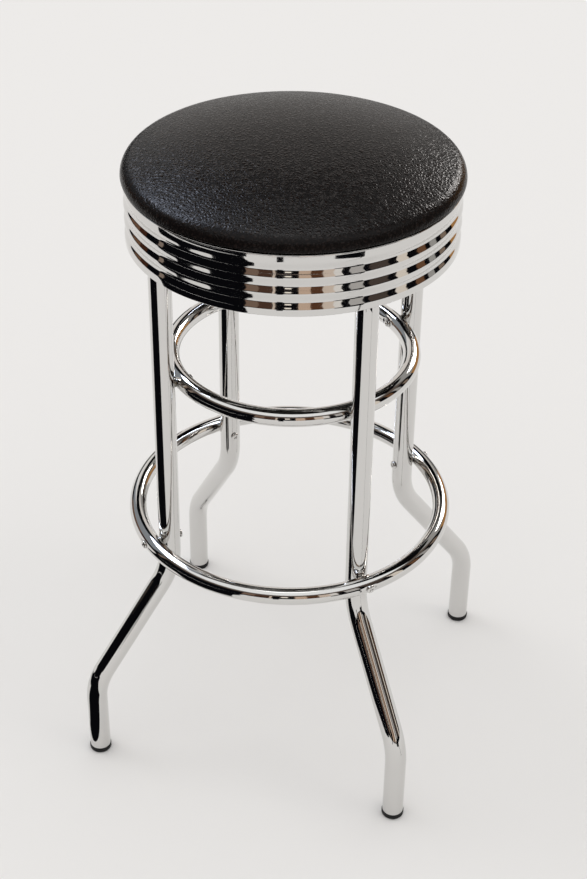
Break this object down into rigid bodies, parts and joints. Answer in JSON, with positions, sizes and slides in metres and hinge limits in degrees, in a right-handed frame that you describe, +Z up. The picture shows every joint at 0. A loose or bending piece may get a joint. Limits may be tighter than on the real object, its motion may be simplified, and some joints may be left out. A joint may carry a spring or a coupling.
{
  "type": "diner counter stool",
  "caption": "Backless diner counter stool: padded round swivel seat in a grooved chrome band, on bent chrome tube legs tied by an upper ring and a foot ring.",
  "frame": {"origin": "on the floor, under the middle of the seat", "axes": "+Z up through the middle of the seat; the legs stand at 45 degrees to +X and +Y, with the front at -Y"},
  "size_m": [0.3988, 0.3988, 0.762],
  "materials": {
    "chrome": "mirror polished plate",
    "vinyl": "grained black vinyl over foam, soft sheen",
    "plywood": "bare",
    "zinc_plate": "bright zinc plate",
    "bright_steel": "bright",
    "black_plastic": "moulded, satin"
  },
  "bodies": {
    "frame": {"swivel_base_plate": "zinc_plate", "swivel_rivet": "zinc_plate", "swivel_washer": "zinc_plate", "upper_ring": "chrome", "foot_ring": "chrome", "leg_front_right": "chrome", "leg_rear_right": "chrome", "leg_rear_left": "chrome", "leg_front_left": "chrome", "foot_glide_front_right": "black_plastic", "foot_glide_rear_right": "black_plastic", "foot_glide_rear_left": "black_plastic", "foot_glide_front_left": "black_plastic", "leg_bolt_inner_front_right": "zinc_plate", "leg_bolt_inner_rear_right": "zinc_plate", "leg_bolt_inner_rear_left": "zinc_plate", "leg_bolt_inner_front_left": "zinc_plate", "leg_bolt_outer_front_right": "zinc_plate", "leg_bolt_outer_rear_right": "zinc_plate", "leg_bolt_outer_rear_left": "zinc_plate", "leg_bolt_outer_front_left": "zinc_plate", "upper_ring_screw_front_right": "chrome", "upper_ring_screw_rear_right": "chrome", "upper_ring_screw_rear_left": "chrome", "upper_ring_screw_front_left": "chrome", "rivet_nut_front_right": "zinc_plate", "rivet_nut_rear_right": "zinc_plate", "rivet_nut_rear_left": "zinc_plate", "rivet_nut_front_left": "zinc_plate", "foot_ring_screw_front_right": "chrome", "foot_ring_screw_rear_right": "chrome", "foot_ring_screw_rear_left": "chrome", "foot_ring_screw_front_left": "chrome", "sleeve_nut_front_right": "chrome", "sleeve_nut_rear_right": "chrome", "sleeve_nut_rear_left": "chrome", "sleeve_nut_front_left": "chrome"},
    "seat": {"seat_cushion": "vinyl", "seat_board": "plywood", "seat_band": "chrome", "swivel_top_plate": "zinc_plate", "seat_screw_front_right": "zinc_plate", "seat_screw_rear_right": "zinc_plate", "seat_screw_rear_left": "zinc_plate", "seat_screw_front_left": "zinc_plate", "tee_nut_front_right": "zinc_plate", "tee_nut_rear_right": "zinc_plate", "tee_nut_rear_left": "zinc_plate", "tee_nut_front_left": "zinc_plate", "band_screw_front_right": "zinc_plate", "band_screw_rear_right": "zinc_plate", "band_screw_rear_left": "zinc_plate", "band_screw_front_left": "zinc_plate"},
    "ball_cage": {"swivel_ball_cage": "bright_steel"}
  },
  "joints": [
    {"name": "seat_swivel", "type": "hinge", "parent": "frame", "child": "seat", "pos_m": [0, 0, 0.7013], "axis": [0, 0, 1], "continuous": true},
    {"name": "cage_roll", "type": "hinge", "parent": "frame", "child": "ball_cage", "pos_m": [0, 0, 0.7013], "axis": [0, 0, 1], "continuous": true}
  ],
  "couplings": [
    {"joint": "cage_roll", "follows": "seat_swivel", "ratio": 0.5}
  ]
}
